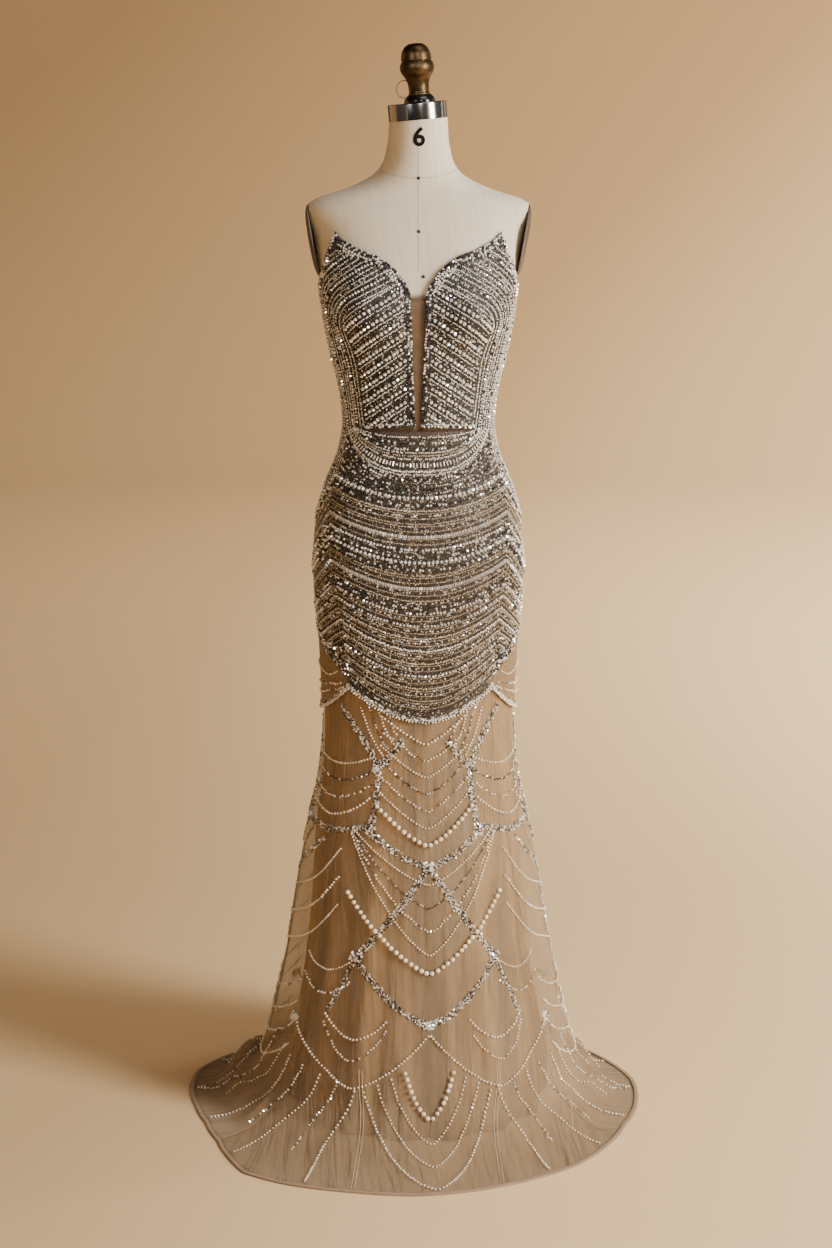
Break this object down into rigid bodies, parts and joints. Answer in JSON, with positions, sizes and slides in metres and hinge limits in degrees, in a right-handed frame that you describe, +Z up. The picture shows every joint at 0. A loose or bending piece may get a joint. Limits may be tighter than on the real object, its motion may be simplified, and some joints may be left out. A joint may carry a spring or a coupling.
{
  "type": "evening gown on dress form",
  "caption": "Strapless beaded trumpet evening gown with a plunging front and a sheer sweeping tulle skirt over a lining, on a limbless dress form with a pole stand.",
  "frame": {"origin": "on the floor, on the axis of the stand's pole, under the middle of the stand's round foot", "axes": "+Z up along the pole, -Y the front of the gown, +X the wearer's left"},
  "size_m": [0.7667, 0.9187, 1.7486],
  "materials": {
    "beaded_bodice": "silver and gunmetal beading on dark taupe mesh",
    "beaded_hip": "silver and champagne beading on brown mesh",
    "nude_mesh": "fine nude mesh, matt",
    "tulle": "sheer grey-beige tulle",
    "lining": "soft tan-brown lining with a slight sheen",
    "binding": "narrow tan-brown bound edge",
    "linen": "natural linen, matt",
    "dark_lacquer": "dark lacquer, satin gloss",
    "polished_steel": "polished steel",
    "old_bronze": "antique bronze, worn",
    "brass": "drawn brass wire",
    "cast_iron": "black cast iron",
    "pearl_beads": "ivory pearl lustre",
    "crystal_beads": "clear and silver-lined cut crystal",
    "dark_beads": "gunmetal and bronze cut beads"
  },
  "bodies": {
    "root": {"arm_plate_left": "dark_lacquer", "arm_plate_right": "dark_lacquer", "bodice_back_left": "beaded_bodice", "bodice_back_right": "beaded_bodice", "bodice_front_left": "beaded_bodice", "bodice_front_right": "beaded_bodice", "bodice_side_left": "beaded_bodice", "bodice_side_right": "beaded_bodice", "finial": "old_bronze", "finial_flange": "dark_lacquer", "form_torso": "linen", "hanging_loop": "brass", "hem_binding": "binding", "hip_back_left": "beaded_hip", "hip_back_right": "beaded_hip", "hip_front": "beaded_hip", "hip_side_left": "beaded_hip", "hip_side_right": "beaded_hip", "lining_back_left": "lining", "lining_back_right": "lining", "lining_front": "lining", "neck_cap": "polished_steel", "plunge_insert": "nude_mesh", "skirt_back_left": "tulle", "skirt_back_right": "tulle", "skirt_front": "tulle", "skirt_side_left": "tulle", "skirt_side_right": "tulle", "stand_base": "cast_iron", "stand_pole": "polished_steel"}
  },
  "joints": []
}
